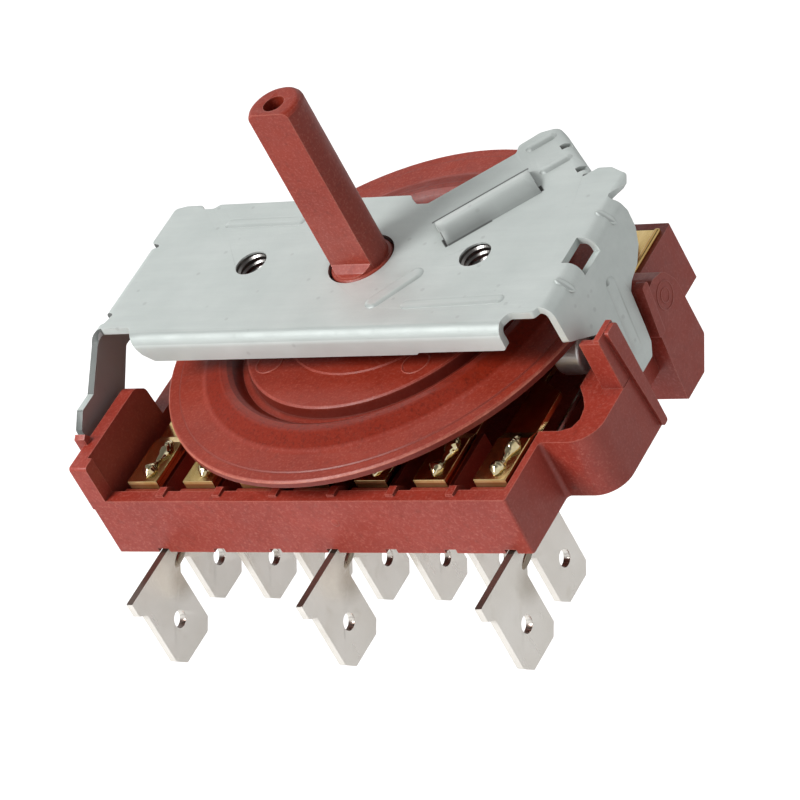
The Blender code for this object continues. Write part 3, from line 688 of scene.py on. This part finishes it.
def front_row(metal, front_look, ledge_look):
    """At each pole, worked metal over the tang, the blade's thick front end and a ledge before it."""
    skin = 0.03
    clear = 0.02
    thick_rear = -14.9
    slope_rear = -13.7
    sunk = 0.3
    rounding = 0.07
    ledge_margin = 0.35
    ledge_side = [(-22.1, -12.3), (-22.1, -11.35), (-21.95, -11.3), (-20.95, -11.5), (-20.95, -12.3)]
    ledge_spans = []
    for k in POLES:
        low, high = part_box("terminal_%d" % k)
        blade_low, blade_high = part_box("contact_blade_%d" % k)
        mid = (low[0] + high[0]) / 2 / MM
        under = blade_low[2] / MM
        top = blade_high[2] / MM
        thick_top = top + BLADE_FRONT_RISE
        stake_bead("stake_bead_%d" % k, mid + BEAD_SHIFT, thick_top, metal, BEAD_SEED + k)

        left = blade_low[0] / MM
        right = blade_high[0] / MM
        if k == MIDDLE_POLE:
            # Its box also holds the eye around the shaft, so its front is placed by the terminal
            left = mid - TERMINAL_SHIFT - BLADE_WIDTH / 2
            right = mid - TERMINAL_SHIFT + BLADE_WIDTH / 2
        front = blade_low[1] / MM - skin
        side = [(front, under + clear), (front, thick_top), (thick_rear, thick_top),
                (slope_rear, top + clear), (slope_rear, top - sunk)]
        bars("blade_front_%d" % k, [(left, right)], side, front_look, "blade_%d" % k, rounding)
        ledge_spans.append((left - ledge_margin, right + ledge_margin))
    bars("front_ledges", ledge_spans, ledge_side, ledge_look, "housing", 0.12)


def fold_dimples(look):
    """Two gussets pressed across the right fold."""
    radii = (1.2, 0.5, 0.36)
    places = ((26.55, 5.5, -0.62), (26.62, -4.4, -0.62))
    for k, where in enumerate(places, 1):
        dome("fold_dimple_%d" % k, where, radii, look, tilt=45, axis="Y", rings=16)


def tab_grooves(look):
    """A short stiffening bead pressed into each front tab below its root, in a dark look that is painted
    shade in the groove.
    """
    radii = (0.22, 1.45, 0.5)
    for k in DOUBLE_POLES:
        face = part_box("terminal_%d" % k)[1][0] / MM
        dome("tab_groove_%d" % k, (face, -22.3, -19.6), radii, look, tilt=14)


def moulding_marks(base_look, cam_look):
    """The gate's mark on the front wall, ejector pins' marks on the hub and rings on the lug."""
    gate = (2.2, -23.49, -13.9)
    pins = ((-9.9, -8.7), (8.6, -9.2))
    pin_radius = 1.5
    lug_centre = (LUG_FACE, 6.0, -11.4)
    lug_radii = (0.75, 1.45)
    dome("gate_mark", gate, (0.5, 0.09, 0.5), base_look, segments=24, rings=12)
    for k, (x, y) in enumerate(pins, 1):
        ring_mark("ejector_mark_%d" % k, (x, y, HUB_FACE), pin_radius, cam_look, "cam", width=0.12)
    for k, radius in enumerate(lug_radii, 1):
        ring_mark("lug_ring_%d" % k, lug_centre, radius, base_look, "housing", width=0.1, sideways=True)


def plain_side(front, rear, low, top):
    """The side profile of a plain bar."""
    return [(front, low), (front, top), (rear, top), (rear, low)]


def rear_contact(plate_look, fold_look):
    """The contact plate at the rear right of the base, with its folded edge."""
    plate_side = plain_side(7.4, 15.2, -10.89, -10.7)
    fold_side = plain_side(7.2, 15.25, -11.0, -10.45)
    bars("rear_contact", [(20.4, 23.4)], plate_side, plate_look, "housing", 0.05)
    bars("rear_contact_fold", [(23.0, 23.65)], fold_side, fold_look, "housing", 0.2)


def spring_wire(look):
    """The spring's wire again, as a piece with its own mesh that rides on the housing in place of the
    hidden CAD node.
    """
    bm = bmesh.new()
    bm.from_mesh(NODES["detent_spring"].data)
    spring = made_object("detent_spring_wire", bm, look, "housing")
    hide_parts("detent_spring")
    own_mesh(spring)


# Studio

def studio_world():
    """White to the camera, bright near the horizon and dark overhead to mirrors, and a low fill light."""
    fill = 0.25
    camera_level = 1.1
    scene = bpy.context.scene
    scene.view_settings.view_transform = "Standard"
    world = bpy.data.worlds.new("studio")
    scene.world = world
    world.use_nodes = True
    tree = world.node_tree
    back = tree.nodes["Background"]
    back.inputs["Color"].default_value = (1.0, 1.0, 1.0, 1.0)
    path = tree.nodes.new("ShaderNodeLightPath")
    way = tree.nodes.new("ShaderNodeTexCoord")
    parts = tree.nodes.new("ShaderNodeSeparateXYZ")
    tree.links.new(way.outputs["Generated"], parts.inputs[0])
    sky = tree.nodes.new("ShaderNodeMapRange")
    sky.interpolation_type = "SMOOTHSTEP"
    tree.links.new(parts.outputs["Z"], sky.inputs["Value"])
    sky.inputs["From Min"].default_value = 0.45
    sky.inputs["From Max"].default_value = 0.85
    sky.inputs["To Min"].default_value = 0.62
    sky.inputs["To Max"].default_value = -0.1
    level = shader_math(tree, "MULTIPLY_ADD", path.outputs["Is Glossy Ray"], sky.outputs["Result"], fill)
    level = shader_math(tree, "MULTIPLY_ADD", path.outputs["Is Camera Ray"], camera_level, level)
    tree.links.new(level, back.inputs["Strength"])


def key_light():
    """A round softbox above, in front and to the left."""
    where = Vector((-0.28, -0.44, 0.60))
    data = bpy.data.lights.new("key", "AREA")
    data.shape = "DISK"
    data.size = 0.35
    data.energy = 6.4
    made = bpy.data.objects.new("key", data)
    COLLECTION.objects.link(made)
    made.location = where
    made.rotation_euler = (-where).to_track_quat("-Z", "Y").to_euler()


def floor_look():
    """Light grey with a glow that the camera sees, and that mirrors see a little."""
    camera_glow = 0.5
    mirror_glow = 0.12
    look = bpy.data.materials.new("floor")
    look.use_nodes = True
    tree = look.node_tree
    shader = tree.nodes["Principled BSDF"]
    shader.inputs["Base Color"].default_value = (0.86, 0.86, 0.86, 1.0)
    shader.inputs["Roughness"].default_value = 0.8
    glow = tree.nodes.new("ShaderNodeEmission")
    glow.inputs["Color"].default_value = (1.0, 1.0, 1.0, 1.0)
    add = tree.nodes.new("ShaderNodeAddShader")
    path = tree.nodes.new("ShaderNodeLightPath")
    shine = shader_math(tree, "MULTIPLY", path.outputs["Is Glossy Ray"], mirror_glow)
    total = shader_math(tree, "MULTIPLY_ADD", path.outputs["Is Camera Ray"], camera_glow, shine)
    tree.links.new(total, glow.inputs["Strength"])
    tree.links.new(shader.outputs[0], add.inputs[0])
    tree.links.new(glow.outputs[0], add.inputs[1])
    tree.links.new(add.outputs[0], tree.nodes["Material Output"].inputs["Surface"])
    return look


def studio_floor():
    """A wide floor, well below the tabs. Its sizes are in metres."""
    half_size = 6.0
    gap_below = 0.09
    bm = bmesh.new()
    bmesh.ops.create_grid(bm, x_segments=1, y_segments=1, size=half_size)
    mesh = bpy.data.meshes.new("floor")
    bm.to_mesh(mesh)
    bm.free()
    floor = bpy.data.objects.new("floor", mesh)
    COLLECTION.objects.link(floor)
    floor.location = (0, 0, cad_low[2] - gap_below)
    paint(floor, floor_look())


add_camera()
studio_world()
key_light()
studio_floor()

# The looks: a dark and a light colour, then a speck's colour or the limits of roughness

red = moulding("red_moulding", (0.29, 0.026, 0.013), (0.37, 0.040, 0.022), (0.55, 0.15, 0.11),
               speckled=0.55, shade_in_nooks=0.55, tones=base_tones)
red_cam = moulding("cam_moulding_red", (0.255, 0.020, 0.007), (0.325, 0.031, 0.012), (0.46, 0.105, 0.07),
                   speckled=0.62, shade_in_nooks=0.35, tones=disc_tones)
plate = zinc()
gold = brass("blade_brass_look", (0.62, 0.43, 0.16), (0.86, 0.66, 0.33), 0.1, 0.22)
tab = nickel()
polished = steel("polished_steel", (0.92, 0.91, 0.89), 0.34, 0.4, metallic=0.75, strength=0.01)
drawn = steel("drawn_wire", (0.55, 0.53, 0.5), 0.2, 0.32)
cut_steel = steel("cut_thread_steel", (0.26, 0.25, 0.24), 0.25, 0.4)
silver = steel("silver_tip", (0.78, 0.77, 0.74), 0.2, 0.35)
front_gold = brass("blade_front_brass", (0.66, 0.44, 0.15), (0.90, 0.68, 0.32), 0.12, 0.24, front=True)
worn_gold = brass("worn_blade_brass", (0.50, 0.30, 0.09), (0.82, 0.58, 0.24), 0.16, 0.28)
# Dark plating: painted shade for the tabs' grooves
ragged_lip_and_groove_shade = brass("groove_shade_plating", (0.20, 0.16, 0.12), (0.40, 0.34, 0.27), 0.2, 0.32)
worked = brass("worked_metal", (0.55, 0.44, 0.22), (0.92, 0.84, 0.6), 0.06, 0.16)

# The CAD nodes

for name, node in NODES.items():
    if name == "base_housing":
        paint(node, red)
        soften_edges(node, 0.28, segments=3)
    elif name == "cam_disc":
        paint(node, red_cam)
        soften_edges(node, 0.14, angle=15.0)
    elif name == "bracket":
        paint(node, plate)
        soften_edges(node, 0.1)
    elif name.startswith("contact_blade"):
        paint(node, gold)
        soften_edges(node, 0.06, segments=1)
    elif name.startswith("terminal"):
        paint(node, tab)
        soften_edges(node, 0.08)
    elif name.startswith("contact_tip"):
        paint(node, silver)
    elif name == "bus_bar":
        paint(node, gold)
    elif name == "detent_roller":
        paint(node, polished)
    else:
        paint(node, drawn)

# The pieces

screw_thread("screw_thread_left", -SCREW_X, cut_steel)
screw_thread("screw_thread_right", SCREW_X, cut_steel)
front_row(worked, front_gold, red)
fold_dimples(plate)
louvre_crown(plate)
tab_grooves(ragged_lip_and_groove_shade)
moulding_marks(red, red_cam)
rear_contact(gold, worn_gold)
spring_wire(drawn)
